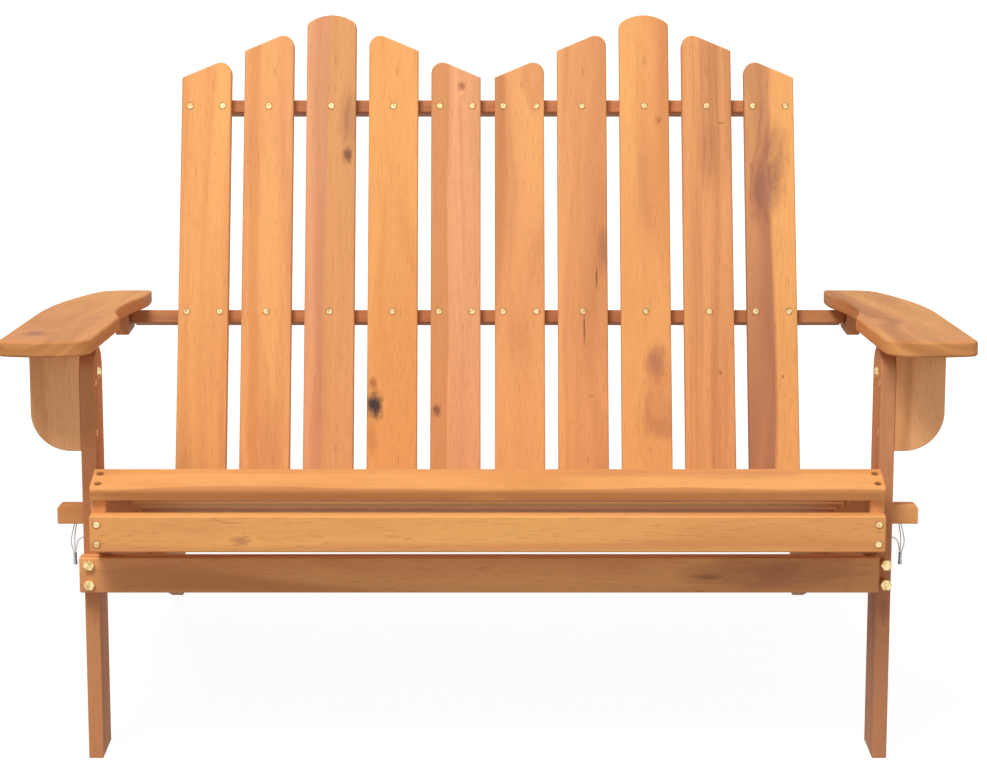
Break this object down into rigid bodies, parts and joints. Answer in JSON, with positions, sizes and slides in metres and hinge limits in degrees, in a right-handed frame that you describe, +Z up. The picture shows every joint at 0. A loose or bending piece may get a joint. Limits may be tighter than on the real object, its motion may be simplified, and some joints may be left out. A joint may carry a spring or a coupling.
{
  "type": "adirondack_loveseat",
  "caption": "Folding two-seat adirondack loveseat of softwood boards with a fan back of ten slats, wide arms, locking pegs and brass screws.",
  "frame": {"origin": "On the floor under the middle of the overall bounding box of the standing seat.", "axes": "+X to the viewer's right along the seat's width, +Y to the rear, +Z up."},
  "size_m": [1.2638, 0.8846, 0.946],
  "materials": {
    "wood_back": "oiled softwood, planed, straight grain up the slats",
    "wood_seat": "oiled softwood, planed, grain along the slats",
    "wood_arms": "oiled softwood, planed, grain along the arms",
    "wood_frame": "oiled softwood, planed",
    "brass": "bright brass screws and bolts",
    "cord": "thin twisted cord, pale grey",
    "ferrule": "dark grey crimped ferrule"
  },
  "bodies": {
    "seat_frame": {"stringer_left": "wood_frame", "stringer_right": "wood_frame", "seat_slat_01": "wood_seat", "seat_slat_02": "wood_seat", "seat_slat_03": "wood_seat", "seat_slat_04": "wood_seat", "seat_slat_05": "wood_seat", "seat_slat_06": "wood_seat", "seat_slat_07": "wood_seat", "apron": "wood_seat", "back_stop_left": "wood_frame", "back_stop_right": "wood_frame", "seat_screws": "brass", "apron_screws": "brass", "stop_screws": "brass", "back_pivot_bolts": "brass"},
    "back": {"back_slat_01": "wood_back", "back_slat_02": "wood_back", "back_slat_03": "wood_back", "back_slat_04": "wood_back", "back_slat_05": "wood_back", "back_slat_06": "wood_back", "back_slat_07": "wood_back", "back_slat_08": "wood_back", "back_slat_09": "wood_back", "back_slat_10": "wood_back", "top_rail": "wood_frame", "mid_rail": "wood_frame", "lower_back_rail": "wood_frame", "hinge_cheek_left": "wood_frame", "hinge_cheek_right": "wood_frame", "back_screws": "brass", "cheek_screws": "brass", "arm_pivot_bolts": "brass"},
    "arms": {"arm_left": "wood_arms", "arm_right": "wood_arms", "rear_cleat_left": "wood_frame", "rear_cleat_right": "wood_frame", "front_cleat_left": "wood_frame", "front_cleat_right": "wood_frame", "arm_screws": "brass"},
    "front_legs": {"front_leg_left": "wood_frame", "front_leg_right": "wood_frame", "arm_bracket_left": "wood_arms", "arm_bracket_right": "wood_arms", "peg_cord_left": "cord", "peg_cord_right": "cord", "cord_ferrule_left": "ferrule", "cord_ferrule_right": "ferrule", "front_stretcher": "wood_frame", "bracket_screws": "brass", "stretcher_bolts": "brass", "leg_pivot_bolts": "brass"},
    "peg_left": {"locking_peg_left": "wood_frame"},
    "peg_right": {"locking_peg_right": "wood_frame"}
  },
  "joints": [
    {"name": "back_fold", "type": "hinge", "parent": "seat_frame", "child": "back", "pos_m": [0, 0.0325, 0.205], "axis": [1, 0, 0], "range_deg": [0, 86]},
    {"name": "arms_fold", "type": "hinge", "parent": "back", "child": "arms", "pos_m": [0, 0.2201, 0.4938], "axis": [1, 0, 0], "range_deg": [-67, 0]},
    {"name": "legs_fold", "type": "hinge", "parent": "arms", "child": "front_legs", "pos_m": [0, -0.2975, 0.52], "axis": [1, 0, 0], "range_deg": [0, 50]},
    {"name": "peg_left_slide", "type": "slide", "parent": "front_legs", "child": "peg_left", "axis": [-1, 0, 0], "range_m": [0, 0.018]},
    {"name": "peg_right_slide", "type": "slide", "parent": "front_legs", "child": "peg_right", "axis": [1, 0, 0], "range_m": [0, 0.018]}
  ],
  "couplings": [
    {"joint": "arms_fold", "follows": "back_fold", "ratio": -0.77},
    {"joint": "legs_fold", "follows": "back_fold", "ratio": 0.57}
  ]
}
